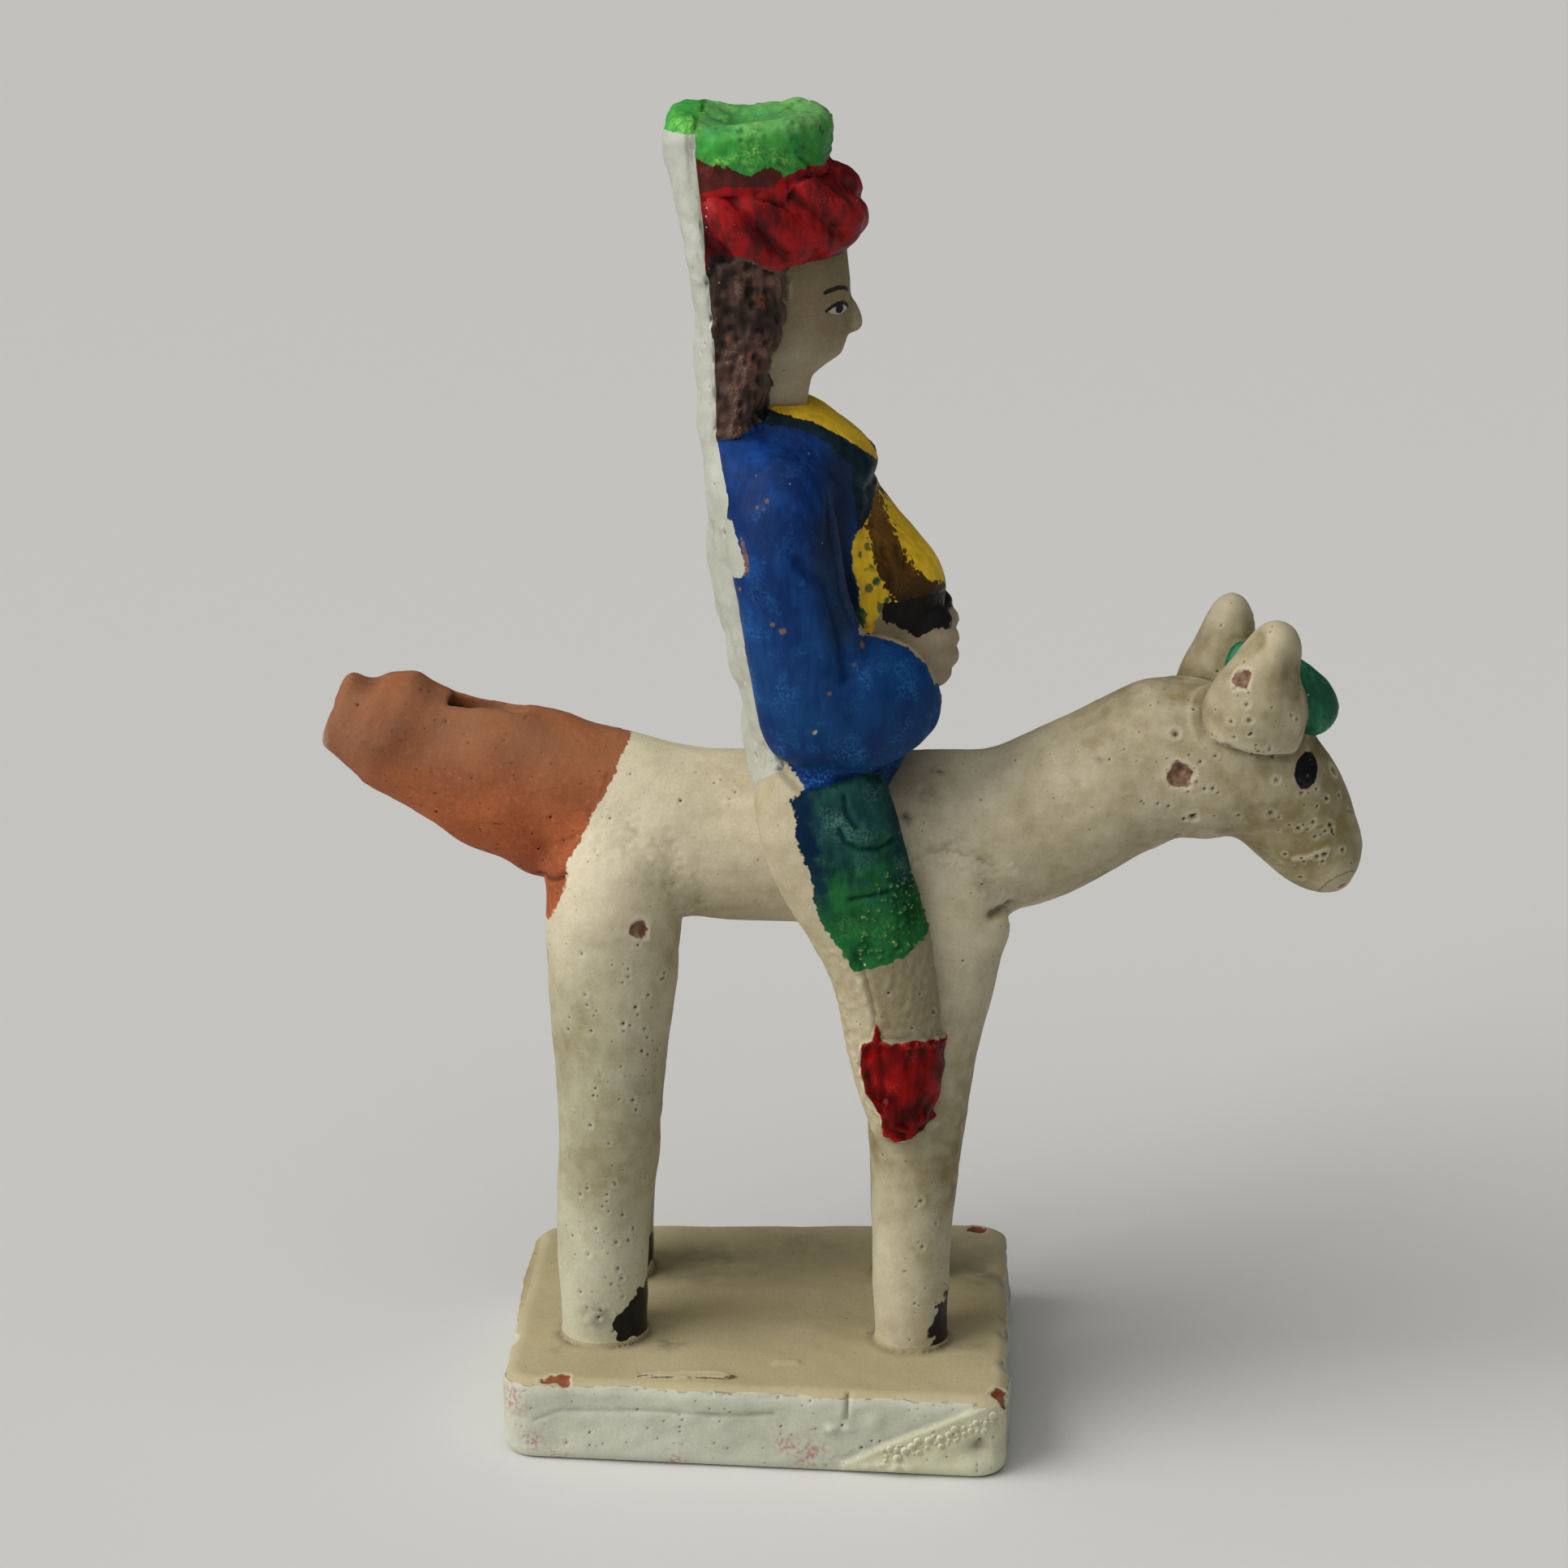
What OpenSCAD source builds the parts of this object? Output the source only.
// Clay whistle in the form of a rider on a horse. Every piece is a lump, roll or slab of clay that was shaped
// by itself and stuck to its neighbour while soft, so a piece is cut by the one that it is pressed on.
// Millimetres, Z up. The origin is the middle of the base's underside, the horse looks along +X, and the near
// side is -Y.

/* [Base slab] */
// Length of the slab, from tail end to head end
base_length = 76; // [60:1:95]
// Depth of the slab at the tail end
base_width_tail = 61; // [48:1:76]
// Depth of the slab at the head end
base_width_head = 68; // [48:1:82]
// Thickness of the slab
base_thickness = 13; // [8:0.5:18]
// Radius of the slab's upright corners
base_corner = 5; // [2:0.5:9]
// Rounding of the slab's top and bottom edges
base_edge = 1.6; // [0.5:0.1:3]

/* [Horse body] */
// Height of the belly above the slab
belly_clearance = 64; // [50:1:80]
// Thickness of the barrel
barrel_diameter = 26; // [21:0.5:32]
// Length of the barrel, from the whistle's joint to the shoulder
barrel_length = 60; // [50:1:74]
// Thickness of the neck
neck_diameter = 24; // [19:0.5:28]
// How far the poll stands in front of the shoulder
neck_reach = 31.5; // [26:0.5:38]
// How far the poll stands above the barrel
neck_rise = 12.5; // [10:0.5:15]
// Length of the head, from the poll to the lips
head_length = 28; // [23:0.5:34]
// Slope of the head below level
head_droop = 56; // [45:1:67]
// Thickness of the muzzle
muzzle_diameter = 13; // [10.5:0.5:16]

/* [Ears and forelock] */
// Length of an ear above the poll
ear_length = 18; // [15:0.5:22]
// Thickness of an ear at its root
ear_diameter = 15; // [12:0.5:18]
// Thickness of the forelock roll
forelock_diameter = 9; // [7:0.5:11]

/* [Horse legs] */
// Distance from a hind foot to a forefoot
foot_pitch = 47; // [40:0.5:56]
// Distance from a near foot to a far foot
foot_spread = 24; // [20:0.5:28]
// Thickness of a hind leg at the slab
hind_foot_diameter = 13; // [10:0.5:16]
// Thickness of a foreleg at the slab
fore_foot_diameter = 11; // [9:0.5:14]
// Thickness of a leg where it laps the barrel
thigh_diameter = 20; // [16:0.5:24]

/* [Whistle] */
// Length of the tube, from its joint to the mouth
whistle_length = 43; // [36:0.5:50]
// Upward slope of the tube
whistle_tilt = 22; // [16:1:28]
// Thickness of the tube at its joint
root_diameter = 24.5; // [21:0.5:29]
// Thickness of the tube at the mouth
mouth_diameter = 13.5; // [11:0.5:16]
// Bore of the sound chamber
chamber_bore = 13; // [11:0.5:15.5]
// Height of the windway slot
windway_height = 1.8; // [1.2:0.1:2.4]
// Width of the windway and of the window
window_width = 8; // [6.5:0.5:9.5]
// Length of the window, from the windway to the lip
window_length = 6; // [5:0.5:7.5]
// Thickness of the lip's sharp edge
lip_edge = 0.5; // [0.3:0.1:0.9]

/* [Rider] */
// Distance of the rider's seat from the whistle's joint
seat_station = 33; // [28:0.5:38]
// Height from the seat to the neck
torso_height = 52.5; // [45:0.5:64]
// Height from the neck to the brim of the hat
face_height = 22; // [19:0.5:27]
// Height of the twisted wreath
wreath_height = 12.5; // [10:0.5:14]
// Height of the crown above the wreath
crown_height = 9; // [7.5:0.5:11]
// Width across the shoulders, without the arms
shoulder_width = 34; // [28:0.5:40]
// Width across the hair
hair_width = 27; // [24:0.5:31]
// Width across the wreath
wreath_width = 30; // [27:0.5:34]
// Thickness of a sleeve
sleeve_diameter = 15; // [12:0.5:18]
// Drop from the seat to the sole of the boot
leg_drop = 55; // [47:0.5:66]
// Thickness of a boot
boot_diameter = 12; // [10:0.5:14]
// How far the belly stands in front of the seat
belly_reach = 17; // [14:0.5:20]

/* [Hidden] */

slip = "#c9c3ad";
terracotta = "#9a5230";
jacket_blue = "#12379a";
wreath_red = "#96161b";
crown_green = "#37b24a";
hair_brown = "#40302c";
forelock_green = "#2a7350";
trouser_green = "#1f7550";

near = -1;
far = 1;
roll_sides = 20;
relief_sides = 16;
// How far a piece is pressed into the one that carries it, before it is cut to shape by it
press_in = 1.5;

barrel_r = barrel_diameter / 2;
axis_z = base_thickness + belly_clearance + barrel_r;
joint_x = -25;
joint_rise = 4;
shoulder_x = joint_x + barrel_length;
poll = [shoulder_x + neck_reach, axis_z + neck_rise];
hind_x = joint_x + 1;
fore_x = hind_x + foot_pitch;

seat_x = joint_x + seat_station;
seat_z = axis_z + barrel_r;
neck_z = seat_z + torso_height;
brim_z = neck_z + face_height;
crown_z = brim_z + wreath_height;
hat_top = crown_z + crown_height;
half_shoulder = shoulder_width / 2;
half_hair = hair_width / 2;
half_wreath = wreath_width / 2;
half_crown = half_wreath - 2;

// Smooth curve through hand-set stations, with t from 0 at the first to 1 at the last
function along(stations, t) =
    let (last = len(stations) - 1)
    let (i = min(floor(t * last), last - 1))
    let (u = t * last - i)
    let (a = stations[max(i - 1, 0)], b = stations[i], c = stations[i + 1], d = stations[min(i + 2, last)])
    b + 0.5 * u * ((c - a) + u * ((2 * a - 5 * b + 4 * c - d) + u * (3 * b - a - 3 * c + d)));

function unit(v) = v / norm(v);
function place(s) = [s[0], s[1], s[2]];
function heading(stations, t) =
    unit(place(along(stations, min(t + 0.01, 1))) - place(along(stations, max(t - 0.01, 0))));
function middle(ring) = [for (k = [0:2]) [for (p = ring) 1] * [for (p = ring) p[k]] / len(ring)];

// Share of the full thickness at t, on a roll whose first and last stretches are rounded off
function swell(t, first, last) =
    t < first ? sqrt(1 - pow(1 - t / first, 2)) :
    t > 1 - last ? sqrt(1 - pow(1 - (1 - t) / last, 2)) : 1;

// Places of the rings along a roll, closer together where an end is rounded
dome = [0.35, 1, 2, 3];
function ring_places(count, first, last) = concat(
    first > 0 ? [for (k = dome) first * (1 - cos(22.5 * k))] : [],
    [for (k = [0:count]) first + (1 - first - last) * k / count],
    last > 0 ? [for (k = [3:-1:0]) 1 - last * (1 - cos(22.5 * dome[k]))] : []
);

// Ring of a roll whose stations are [x, y, z, half width, half height]
function roll_ring(stations, t, first, last) =
    let (s = along(stations, t), d = heading(stations, t), k = swell(t, first, last))
    let (side = unit([0, 1, 0] - d[1] * d), up = cross(d, side))
    [for (j = [0:roll_sides - 1]) let (a = 360 * j / roll_sides)
        place(s) + k * (side * s[3] * cos(a) + up * s[4] * sin(a))];

// Closed skin over a row of rings
module skin(rings) {
    m = len(rings);
    n = len(rings[0]);
    points = concat([for (ring = rings) each ring], [middle(rings[0]), middle(rings[m - 1])]);
    sides = [for (i = [0:m - 2], j = [0:n - 1])
        let (a = i * n + j, b = i * n + (j + 1) % n)
        each [[a, a + n, b], [b, a + n, b + n]]];
    ends = [for (j = [0:n - 1])
        each [[m * n, j, (j + 1) % n], [m * n + 1, (m - 1) * n + (j + 1) % n, (m - 1) * n + j]]];
    polyhedron(points, concat(sides, ends), convexity = 8);
}

module roll(stations, count, first = 0, last = 0) {
    skin([for (t = ring_places(count, first, last)) roll_ring(stations, t, first, last)]);
}

// Base slab
edge_profile = [[0, 1], [0.35, 0.3], [1, 0]];

function base_corner_at(i) =
    let (x = (i == 0 || i == 3) ? -1 : 1, y = i < 2 ? -1 : 1)
    let (w = x < 0 ? base_width_tail : base_width_head)
    [x * (base_length / 2 - base_corner), y * (w / 2 - base_corner)];

function base_ring(z, inset) =
    [for (i = [0:3], k = [0:5]) let (a = 180 + 90 * i + 18 * k, c = base_corner_at(i))
        [c[0] + (base_corner - inset) * cos(a), c[1] + (base_corner - inset) * sin(a), z]];

module base_slab() {
    color(slip)
        skin(concat(
            [for (p = edge_profile) base_ring(p[0] * base_edge, p[1] * base_edge)],
            [for (k = [2:-1:0])
                let (p = edge_profile[k])
                base_ring(base_thickness - p[0] * base_edge, p[1] * base_edge)]));
}

// Horse body: one roll from the whistle's joint to the lips
function barrel_at(f, rise, r) = [joint_x + f * barrel_length, 0, axis_z + rise, r, r];
function neck_at(f, rise, r) = [shoulder_x + f * neck_reach, 0, axis_z + rise * neck_rise, r, r];
// The head bends down from level at the poll and then runs straight to the lips
bend_length = 0.5 * head_length;
bend_r = bend_length * 180 / (PI * head_droop);
function head_at(f, width, height) =
    let (bent = min(f * head_length, bend_length), straight = f * head_length - bent)
    let (a = head_droop * bent / bend_length)
    [
        poll[0] + bend_r * sin(a) + straight * cos(a),
        0,
        poll[1] - bend_r * (1 - cos(a)) - straight * sin(a),
        width,
        height
    ];

neck_r = neck_diameter / 2;
muzzle_r = muzzle_diameter / 2;
horse_roll = [
    barrel_at(0, joint_rise, root_diameter / 2),
    barrel_at(0.21, 0.4, barrel_r),
    barrel_at(0.42, -0.3, barrel_r),
    barrel_at(0.63, -0.3, barrel_r),
    barrel_at(0.84, 0.4, barrel_r),
    neck_at(0.04, 0.14, barrel_r - 0.2),
    neck_at(0.29, 0.38, neck_r + 0.4),
    neck_at(0.53, 0.71, neck_r),
    neck_at(0.78, 1, neck_r - 0.2),
    head_at(0, neck_r - 0.6, neck_r - 0.3),
    head_at(0.17, neck_r - 1, neck_r - 0.8),
    head_at(0.34, neck_r - 1.8, neck_r - 2),
    head_at(0.5, muzzle_r + 2, muzzle_r + 2.6),
    head_at(0.66, muzzle_r + 1, muzzle_r + 1.7),
    head_at(0.83, muzzle_r, muzzle_r + 0.3),
    head_at(1, muzzle_r - 0.8, muzzle_r - 1)
];

module horse_roll_solid() {
    roll(horse_roll, 23, last = 0.06);
}

module horse_body() {
    color(slip)
        horse_roll_solid();
}

// Horse legs: stations rise from the slab and lap the flank
function leg_at(side, x, f, spread, width, length) =
    [x - (side == far ? far_lag : 0), side * spread, base_thickness + f * belly_clearance, width, length];

// The far legs stand a little behind the near ones
far_lag = 1;
half_spread = foot_spread / 2;
thigh_r = thigh_diameter / 2;

function hind_roll(side) =
    let (foot = hind_foot_diameter / 2)
    [
        leg_at(side, hind_x, 0, half_spread, foot, foot),
        leg_at(side, hind_x, 0.13, half_spread, foot + 0.3, foot + 0.3),
        leg_at(side, hind_x, 0.26, half_spread, foot + 0.6, foot + 0.6),
        leg_at(side, hind_x + 1, 0.5, half_spread, foot + 1, foot + 1.2),
        leg_at(side, hind_x + 1.6, 0.76, half_spread, (foot + thigh_r) / 2, thigh_r - 1.3),
        leg_at(side, hind_x + 2, 0.96, half_spread - 0.5, (foot + thigh_r) / 2, thigh_r),
        leg_at(side, hind_x + 2, 1.12, half_spread - 2, thigh_r - 2, thigh_r),
        leg_at(side, hind_x + 2.4, 1.26, half_spread - 4, thigh_r - 3.5, thigh_r - 1)
    ];

function fore_roll(side) =
    let (foot = fore_foot_diameter / 2)
    [
        leg_at(side, fore_x, 0, half_spread + 0.4, foot, foot),
        leg_at(side, fore_x, 0.13, half_spread + 0.4, foot + 0.2, foot + 0.2),
        leg_at(side, fore_x, 0.26, half_spread + 0.4, foot + 0.5, foot + 0.5),
        leg_at(side, fore_x + 0.5, 0.5, half_spread + 0.2, foot + 1.2, foot + 1.5),
        leg_at(side, fore_x + 1.2, 0.76, half_spread, (foot + thigh_r) / 2, thigh_r - 1.5),
        leg_at(side, fore_x + 2.6, 0.94, half_spread - 0.5, (foot + thigh_r) / 2, thigh_r - 0.3),
        leg_at(side, fore_x + 4, 1.1, half_spread - 2, thigh_r - 2.5, thigh_r),
        leg_at(side, fore_x + 4, 1.22, half_spread - 4, thigh_r - 3.5, thigh_r - 1.5)
    ];

module hind_leg_solid(side) {
    roll(hind_roll(side), 9, last = 0.1);
}

module foreleg_solid(side) {
    roll(fore_roll(side), 9, last = 0.1);
}

module hind_leg(side) {
    color(slip)
        difference() {
            hind_leg_solid(side);
            horse_roll_solid();
            whistle_roll_solid();
        }
}

module foreleg(side) {
    color(slip)
        difference() {
            foreleg_solid(side);
            horse_roll_solid();
        }
}

module near_hind_leg() {
    hind_leg(near);
}

module far_hind_leg() {
    hind_leg(far);
}

module near_foreleg() {
    foreleg(near);
}

module far_foreleg() {
    foreleg(far);
}

// Ears and forelock
module ear_solid(side) {
    r = side == near ? ear_diameter / 2 : ear_diameter / 2 - 1;
    lag = side == near ? 0 : 4;
    lean = side == near ? 4 : 2;
    root = [poll[0] + 5.3 - lag, side * 6.5, poll[1] + 5.5];
    tip = root + [lean, side * 2, ear_length];
    roll([
        concat(root, [r - 1.5, r]),
        concat(root + 0.3 * (tip - root), [r - 0.8, r + 0.2]),
        concat(root + 0.62 * (tip - root), [r - 2, r - 1.8]),
        concat(tip, [r - 3.5, r - 4])
    ], 5, last = 0.2);
}

module forelock_solid() {
    r = forelock_diameter / 2;
    roll([
        [poll[0] + 2.5, 1, poll[1] + 15, r - 1.2, r - 1.2],
        [poll[0] + 8.5, 0, poll[1] + 14, r - 0.5, r - 0.8],
        [poll[0] + 13.5, -1, poll[1] + 10.5, r, r - 0.2],
        [poll[0] + 16.5, -1.5, poll[1] + 5.5, r - 0.3, r - 0.3]
    ], 6, first = 0.15, last = 0.22);
}

module ear(side) {
    color(slip)
        difference() {
            ear_solid(side);
            horse_roll_solid();
        }
}

module near_ear() {
    ear(near);
}

module far_ear() {
    ear(far);
}

module forelock() {
    color(forelock_green)
        difference() {
            forelock_solid();
            horse_roll_solid();
            ear_solid(near);
            ear_solid(far);
        }
}

// Whistle: a tube with the windway, the window and its lip, and the chamber that the barrel's end closes
joint = [joint_x, 0, axis_z + joint_rise];
function tube_point(u, w) =
    let (c = cos(whistle_tilt), s = sin(whistle_tilt))
    joint + [w * s - u * c, 0, u * s + w * c];
function tube_at(f, w, width, height) = concat(tube_point(f * whistle_length, w), [width, height]);

root_r = root_diameter / 2;
mouth_r = mouth_diameter / 2;
chamber_r = chamber_bore / 2;
// The chamber's flat roof is a little wider than the window that opens through it
half_roof = window_width / 2 + 0.5;
chamber_roof = sqrt(chamber_r * chamber_r - half_roof * half_roof);
window_u = 0.62 * whistle_length;
lip_u = window_u - window_length;
// The plug under the windway stands a little in front of the windway's end
plug_u = window_u - 0.3;
windway_floor = chamber_roof - windway_height;
// The lip's ramp runs out through the top of the tube
ramp_length = 9;
ramp_rise = root_r + 0.5 - chamber_roof - lip_edge;
windway_climb = 5;

module whistle_roll_solid() {
    roll([
        tube_at(-press_in / whistle_length, 0, root_r - 0.3, root_r - 0.3),
        tube_at(0.16, -0.7, root_r - 0.2, root_r - 0.2),
        tube_at(0.36, -1.4, root_r - 0.8, root_r - 0.8),
        tube_at(0.54, -1.8, root_r - 2, root_r - 2.2),
        tube_at(0.68, -1.4, root_r - 2.8, root_r - 3),
        tube_at(0.8, -0.8, mouth_r + 3, mouth_r + 2),
        tube_at(0.9, -1.2, mouth_r + 1.5, mouth_r + 0.3),
        tube_at(1, -1.2, mouth_r + 0.2, mouth_r - 0.8)
    ], 11, last = 0.06);
}

// Turns a shape that is laid out along X, with Z up, into the tube's own direction
module in_tube() {
    translate(joint)
        rotate([0, whistle_tilt, 0])
            mirror([1, 0, 0])
                children();
}

// Cuts an outline that is drawn on the tube's middle plane to the width of the window
module window_cut(outline) {
    translate([0, window_width / 2, 0])
        rotate([90, 0, 0])
            linear_extrude(window_width)
                polygon(outline);
}

// The chamber is a bore with a flat roof, which ends in the plug under the windway
module chamber() {
    intersection() {
        translate([-root_r, 0, 0])
            rotate([0, 90, 0])
                cylinder(r = chamber_r, h = plug_u + root_r, $fn = 48);
        translate([-root_r, -chamber_r, -chamber_r])
            cube([plug_u + root_r, chamber_bore, chamber_r + chamber_roof]);
    }
}

// The windway climbs from the mouth to the window and aims its air at the lip
module windway() {
    inner = window_u - 1;
    outer = whistle_length + press_in;
    window_cut([
        [inner, chamber_roof],
        [inner, windway_floor],
        [outer, windway_floor - windway_climb],
        [outer, chamber_roof - windway_climb]
    ]);
}

// The window opens through the tube's top, and its lip is the sharp end of a ramp
module window() {
    lip_z = chamber_roof + lip_edge;
    slope = ramp_rise / ramp_length;
    window_cut([
        [lip_u, windway_floor],
        [window_u, windway_floor],
        [window_u, root_diameter],
        [lip_u, root_diameter]
    ]);
    window_cut([
        [lip_u + 1, lip_z - slope],
        [lip_u + 1, root_diameter],
        [lip_u - ramp_length, root_diameter],
        [lip_u - ramp_length, lip_z + ramp_rise]
    ]);
}

module whistle_tube() {
    color(terracotta)
        difference() {
            whistle_roll_solid();
            horse_roll_solid();
            in_tube() {
                chamber();
                windway();
                window();
            }
        }
}

// Rider: the parting line is the edge between the painted front and the plain back. Its stations are
// [z, x, half width], and the front and the back of the figure share them
part_line = [
    [seat_z - 9, seat_x - 0.5, half_shoulder + 1.5],
    [seat_z, seat_x - 3.5, half_shoulder + 1],
    [seat_z + 0.19 * torso_height, seat_x - 7, half_shoulder],
    [seat_z + 0.36 * torso_height, seat_x - 9.3, half_shoulder + 0.5],
    [seat_z + 0.6 * torso_height, seat_x - 10, half_shoulder + 1],
    [seat_z + 0.75 * torso_height, seat_x - 11.5, half_shoulder + 1],
    [seat_z + 0.88 * torso_height, seat_x - 13.5, half_shoulder],
    [neck_z - 2, seat_x - 14.5, half_shoulder - 3],
    [neck_z + 2, seat_x - 14.6, half_hair],
    [neck_z + 0.5 * face_height, seat_x - 14.7, half_hair],
    [brim_z, seat_x - 15.6, half_hair + 0.5],
    [brim_z + 0.6 * wreath_height, seat_x - 16.4, half_wreath - 1],
    [crown_z, seat_x - 17, half_wreath - 1.5],
    [hat_top - 2, seat_x - 17.5, half_crown],
    [hat_top, seat_x - 17.2, half_crown - 1.5]
];
function column(k) = [for (s = part_line) [s[0], s[k]]];
part_x_line = column(1);
half_width_line = column(2);
function part_x(z) = lookup(z, part_x_line);
function half_width(z) = lookup(z, half_width_line);

// Slice of the front: stations are [z, reach in front of the parting line, how much narrower than the back]
rim_step = 0.2;
function relief_ring(s, squareness, start) =
    let (x = part_x(s[0]) + start, w = half_width(s[0]) - s[2] - rim_step, reach = s[1] - start)
    concat(
        [[x - press_in, -0.6 * w, s[0]]],
        [for (j = [0:relief_sides])
            let (a = -90 + 180 * j / relief_sides)
            [x + reach * pow(abs(cos(a)), squareness), w * sign(a) * pow(abs(sin(a)), squareness), s[0]]],
        [[x - press_in, 0.6 * w, s[0]]]
    );

module relief(stations, count, squareness = 1, start = 0) {
    skin([for (k = [0:count]) relief_ring(along(stations, k / count), squareness, start)]);
}

// Plain back: stations are [z, depth behind the parting line]
back_stations = [
    [seat_z - 9, 7.5],
    [seat_z, 6.6],
    [seat_z + 0.12 * torso_height, 5.4],
    [seat_z + 0.25 * torso_height, 4.8],
    [seat_z + 0.42 * torso_height, 5.6],
    [seat_z + 0.6 * torso_height, 6.2],
    [seat_z + 0.76 * torso_height, 4.4],
    [neck_z - 3, 2.8],
    [neck_z + 0.4 * face_height, 3],
    [brim_z, 3.2],
    [brim_z + 0.6 * wreath_height, 4],
    [crown_z + 2, 4.9],
    [hat_top - 1.5, 4.8],
    [hat_top, 3.4]
];

function back_ring(s) =
    let (x = part_x(s[0]), w = half_width(s[0]))
    [for (j = [0:relief_sides - 1])
        let (a = 90 + 180 * j / (relief_sides - 1))
        [x + s[1] * cos(a), w * sin(a), s[0]]];

module rider_back_solid() {
    skin([for (k = [0:22]) back_ring(along(back_stations, k / 22))]);
}

module rider_back() {
    color(slip)
        difference() {
            rider_back_solid();
            horse_roll_solid();
        }
}

torso_stations = [
    [seat_z - 7, belly_reach - 4, 1],
    [seat_z, belly_reach, 1.5],
    [seat_z + 0.12 * torso_height, belly_reach + 3.5, 1],
    [seat_z + 0.28 * torso_height, belly_reach + 7.5, 1],
    [seat_z + 0.42 * torso_height, belly_reach + 11, 1],
    [seat_z + 0.54 * torso_height, belly_reach + 11.5, 1],
    [seat_z + 0.65 * torso_height, belly_reach + 7.5, 0.5],
    [seat_z + 0.76 * torso_height, belly_reach + 3.4, 0],
    [seat_z + 0.87 * torso_height, belly_reach + 4, 0],
    [neck_z - 3, belly_reach + 1.2, 0],
    [neck_z, belly_reach - 1, 5]
];

module torso_solid() {
    relief(torso_stations, 17, 0.85);
}

module rider_torso() {
    color(jacket_blue)
        difference() {
            torso_solid();
            rider_back_solid();
            horse_roll_solid();
        }
}

// Arms: an upper arm along the side, and a forearm that rests on the thigh and comes forward to the belly
sleeve_r = sleeve_diameter / 2;
arm_y = half_shoulder + 2;
elbow_z = seat_z + sleeve_r + 3.5;
arm_top = neck_z - 4;
upper_arm = arm_top - elbow_z;

module arm_solid(side) {
    roll([
        [seat_x - 5, side * (half_shoulder - 4), arm_top, sleeve_r - 2, sleeve_r - 1],
        [seat_x - 4.5, side * (arm_y - 1.5), arm_top - 0.27 * upper_arm, sleeve_r - 1, sleeve_r + 0.5],
        [seat_x - 2.5, side * arm_y, arm_top - 0.55 * upper_arm, sleeve_r - 1, sleeve_r + 0.5],
        [seat_x + 0.5, side * (arm_y + 0.5), arm_top - 0.89 * upper_arm, sleeve_r - 0.5, sleeve_r + 1.5],
        [seat_x + 2.5, side * (arm_y + 0.5), elbow_z - 7, sleeve_r - 1, sleeve_r + 1]
    ], 8, first = 0.12, last = 0.14);
    roll([
        [seat_x - 1, side * arm_y, elbow_z - 0.5, sleeve_r - 1, sleeve_r],
        [seat_x + 5, side * arm_y, elbow_z + 1, sleeve_r - 1, sleeve_r + 1.8],
        [seat_x + 11, side * (arm_y - 2.5), elbow_z + 2.5, sleeve_r - 1, sleeve_r + 1.5],
        [seat_x + 15.5, side * (arm_y - 7.5), elbow_z + 4.5, sleeve_r - 2, sleeve_r - 1]
    ], 6, first = 0.15, last = 0.18);
}

module arm(side) {
    color(jacket_blue)
        difference() {
            arm_solid(side);
            torso_solid();
            rider_back_solid();
            horse_roll_solid();
        }
}

module near_arm() {
    arm(near);
}

module far_arm() {
    arm(far);
}

// Hand: a closed fist, with the fingers as ridges one above the other
hand_height = 13;
hand_width = 11;
hand_depth = 11;
finger_ridge = 0.7;
finger_count = 4;
fist_rings = 12;

function fist_ring(side, f) =
    let (swollen = sqrt(1 - pow(2 * f - 1, 2) * 0.85))
    let (ridge = finger_ridge * abs(sin(180 * finger_count * f)))
    let (x = seat_x + belly_reach - 2, y = side * hand_width / 2, z = elbow_z + 0.5 + f * hand_height)
    [for (j = [0:roll_sides - 1])
        let (a = 360 * j / roll_sides, c = cos(a))
        [x + (hand_depth / 2 * swollen + (c > 0 ? ridge : 0)) * c, y + hand_width / 2 * swollen * sin(a), z]];

module hand_solid(side) {
    skin([for (k = [0:fist_rings]) fist_ring(side, k / fist_rings)]);
}

module hand(side) {
    color(slip)
        difference() {
            hand_solid(side);
            torso_solid();
            arm_solid(side);
        }
}

module near_hand() {
    hand(near);
}

module far_hand() {
    hand(far);
}

// Rider's legs: stations go down from the hip, [share of the drop, back, front, half width]
boot_r = boot_diameter / 2;
function rider_leg_at(side, f, back, front, y, width) =
    [seat_x + (back + front) / 2, side * y, seat_z - f * leg_drop, width, (front - back) / 2];

function rider_leg_roll(side) =
    let (flank = barrel_r + 4)
    [
        rider_leg_at(side, -0.06, -9.5, 9, flank - 3, boot_r),
        rider_leg_at(side, 0.06, -8.5, 11.5, flank, boot_r + 1.5),
        rider_leg_at(side, 0.2, -6, 14, flank + 1, boot_r + 1.2),
        rider_leg_at(side, 0.36, -1, 16.8, flank + 1.8, boot_r + 0.4),
        rider_leg_at(side, 0.52, 2.8, 18.6, flank + 2.2, boot_r - 0.2),
        rider_leg_at(side, 0.68, 5, 19.6, flank + 2.2, boot_r - 0.4),
        rider_leg_at(side, 0.84, 7, 19.3, flank + 2, boot_r - 0.5),
        rider_leg_at(side, 1, 9.5, 16, flank + 1.5, boot_r - 1.5)
    ];

module rider_leg_solid(side) {
    roll(rider_leg_roll(side), 10, first = 0.1, last = 0.06);
}

module rider_leg(side) {
    color(trouser_green)
        difference() {
            rider_leg_solid(side);
            horse_roll_solid();
            foreleg_solid(side);
            torso_solid();
            rider_back_solid();
            arm_solid(side);
        }
}

module near_rider_leg() {
    rider_leg(near);
}

module far_rider_leg() {
    rider_leg(far);
}

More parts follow.
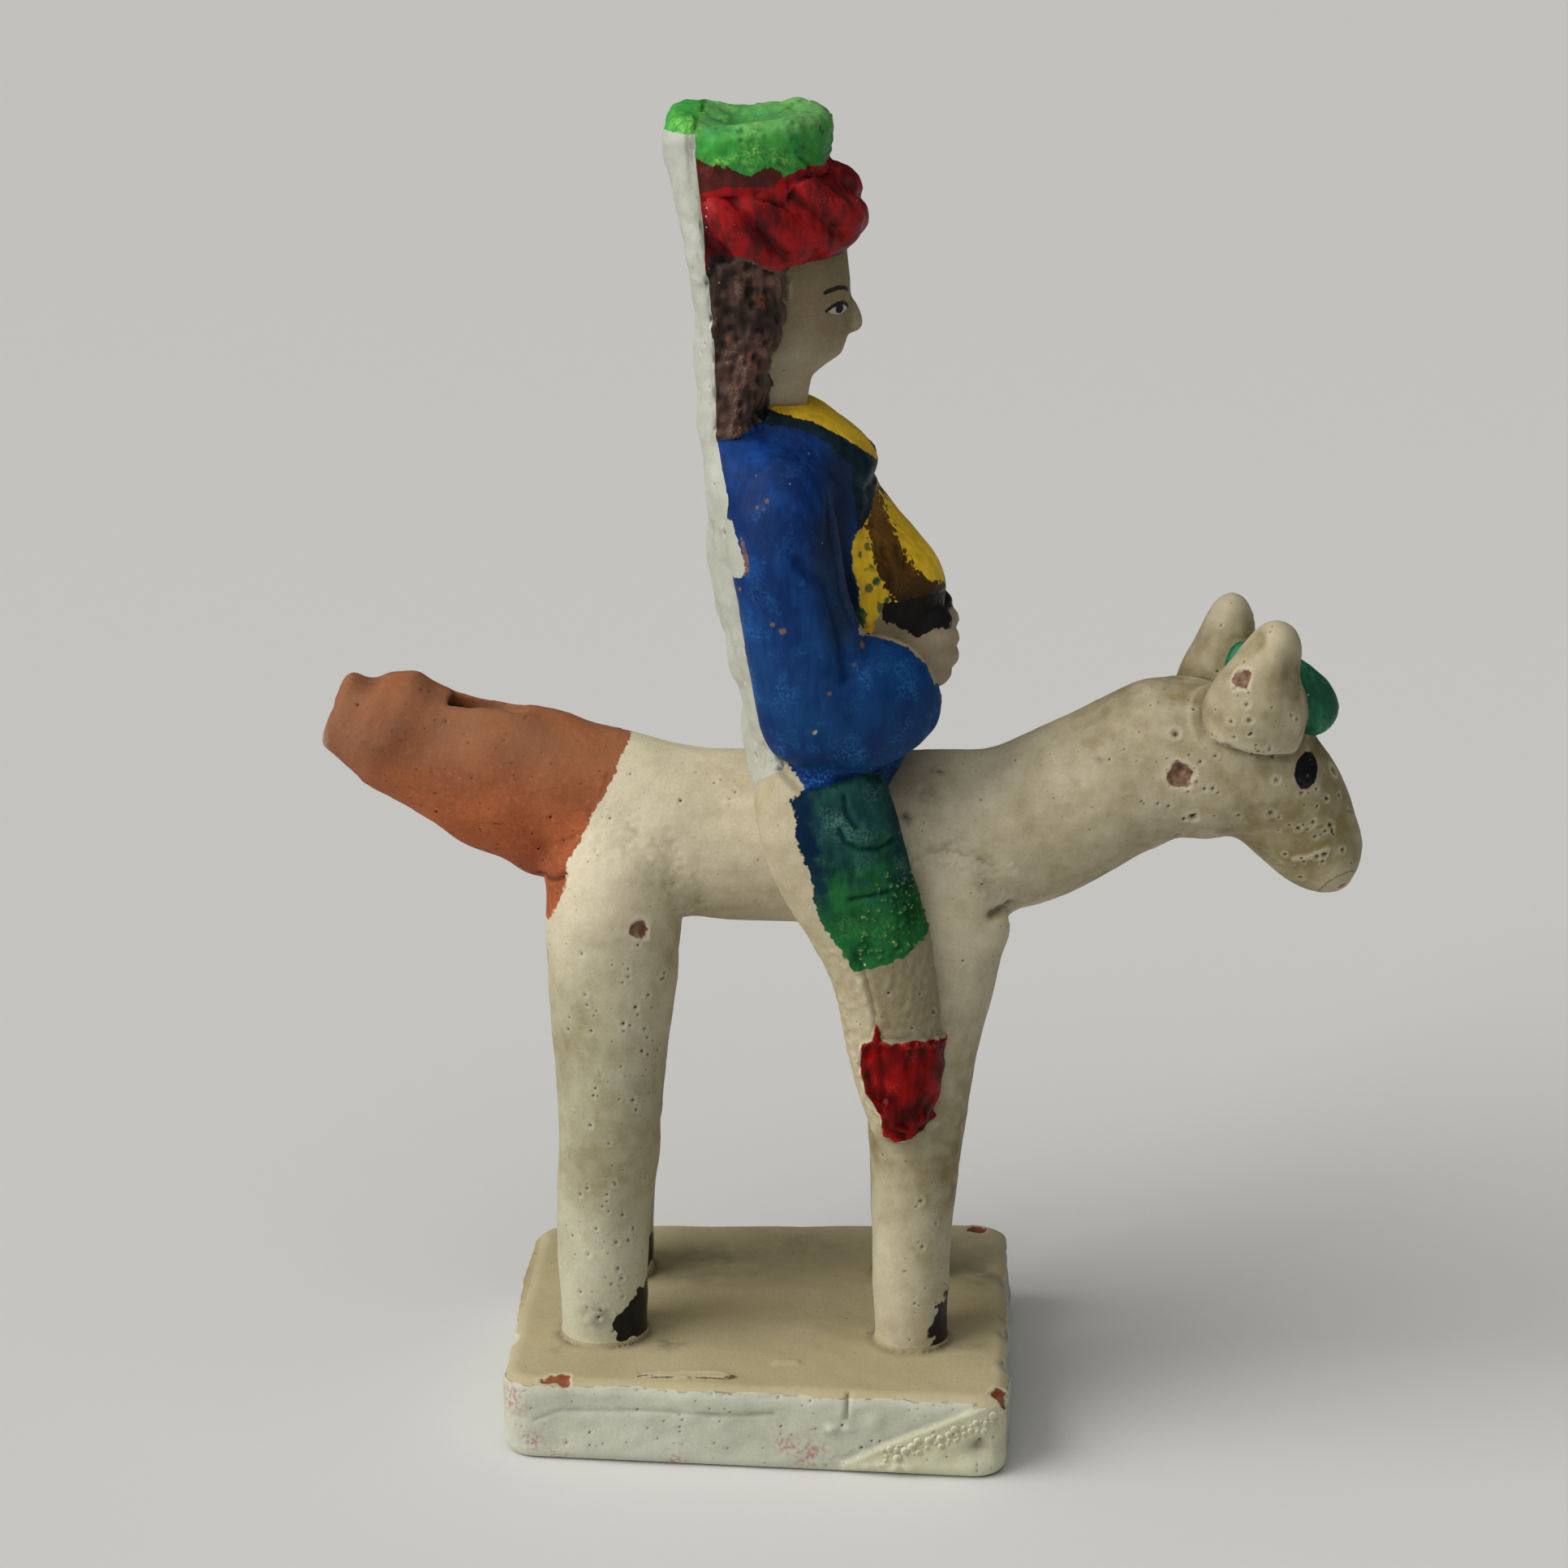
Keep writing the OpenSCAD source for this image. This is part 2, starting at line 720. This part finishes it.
// Head, hair and hat
head_start = 2.5;
head_stations = [
    [neck_z - 5, 12, 8],
    [neck_z + 1, 13, 7],
    [neck_z + 0.24 * face_height, 14, 6.5],
    [neck_z + 0.36 * face_height, 18, 5],
    [neck_z + 0.55 * face_height, 19.2, 4],
    [neck_z + 0.75 * face_height, 19.8, 3.5],
    [brim_z, 19.8, 3.8],
    [brim_z + 0.5 * wreath_height, 19, 4.5],
    [crown_z, 17, 5.5]
];
nose_top = neck_z + 0.75 * face_height;
nose_length = 0.24 * face_height;

module head_solid() {
    relief(head_stations, 13, start = head_start);
}

module nose_solid() {
    x = part_x(nose_top) + 19;
    roll([
        [x - 1.5, 0, nose_top + 1, 1, 1],
        [x + 0.5, 0, nose_top - 0.4 * nose_length, 1.5, 1.5],
        [x + 1.2, 0, nose_top - nose_length, 2, 1.8]
    ], 4, first = 0.2, last = 0.3);
}

module rider_head() {
    color(slip)
        difference() {
            union() {
                head_solid();
                nose_solid();
            }
            torso_solid();
            rider_back_solid();
        }
}

hair_stations = [
    [neck_z - 2, 6.5, 0],
    [neck_z + 0.12 * face_height, 8, 0],
    [neck_z + 0.4 * face_height, 8.5, 0],
    [neck_z + 0.7 * face_height, 12, 0],
    [brim_z + 2, 12.5, 0]
];

module hair_solid() {
    relief(hair_stations, 8, 0.6);
}

module rider_hair() {
    color(hair_brown)
        difference() {
            hair_solid();
            head_solid();
            torso_solid();
            rider_back_solid();
        }
}

// Twisted wreath: strands run up and round, and the coil is tipped up at the front
strands = 9;
strand_depth = 1.6;
strand_turn = 110;
wreath_tip = 0.09;
wreath_start = 1.3;
wreath_sides = 54;

function wreath_ring(f) =
    let (z = brim_z + f * wreath_height, bulge = sqrt(1 - pow(1.7 * f - 0.85, 2)))
    let (x = part_x(z) + wreath_start, reach = 14.5 + 7.5 * bulge)
    [for (j = [0:wreath_sides - 1])
        let (a = 360 * j / wreath_sides - 180)
        let (groove = strand_depth * (1 - abs(sin(strands * a / 2 + strand_turn * f))))
        let (r = half_wreath - 4 + 4 * bulge)
        let (px = abs(a) <= 90 ? (reach - groove) * cos(a) : (wreath_start + 3) * cos(a))
        [x + px, (r - groove) * sin(a), z + wreath_tip * (x + px - seat_x + 6)]];

module wreath_solid() {
    skin([for (f = [0, 0.08, 0.22, 0.4, 0.6, 0.78, 0.92, 1]) wreath_ring(f)]);
}

module hat_wreath() {
    color(wreath_red)
        difference() {
            wreath_solid();
            head_solid();
            hair_solid();
            rider_back_solid();
        }
}

crown_stations = [
    [crown_z - 4, 18, 0.5],
    [crown_z + 0.2 * crown_height, 19, 0],
    [crown_z + 0.6 * crown_height, 20, 0],
    [hat_top - 1, 19.2, 0],
    [hat_top, 16.5, 1]
];
dish_radius = 35;
dish_depth = 1.5;

module hat_crown() {
    color(crown_green)
        difference() {
            relief(crown_stations, 8, 0.75);
            wreath_solid();
            head_solid();
            rider_back_solid();
            translate([part_x(hat_top) + 9, 0, hat_top + dish_radius - dish_depth])
                sphere(dish_radius, $fn = 64);
        }
}

base_slab();
near_hind_leg();
far_hind_leg();
near_foreleg();
far_foreleg();
horse_body();
near_ear();
far_ear();
forelock();
whistle_tube();
rider_back();
rider_torso();
near_arm();
far_arm();
near_hand();
far_hand();
near_rider_leg();
far_rider_leg();
rider_head();
rider_hair();
hat_wreath();
hat_crown();
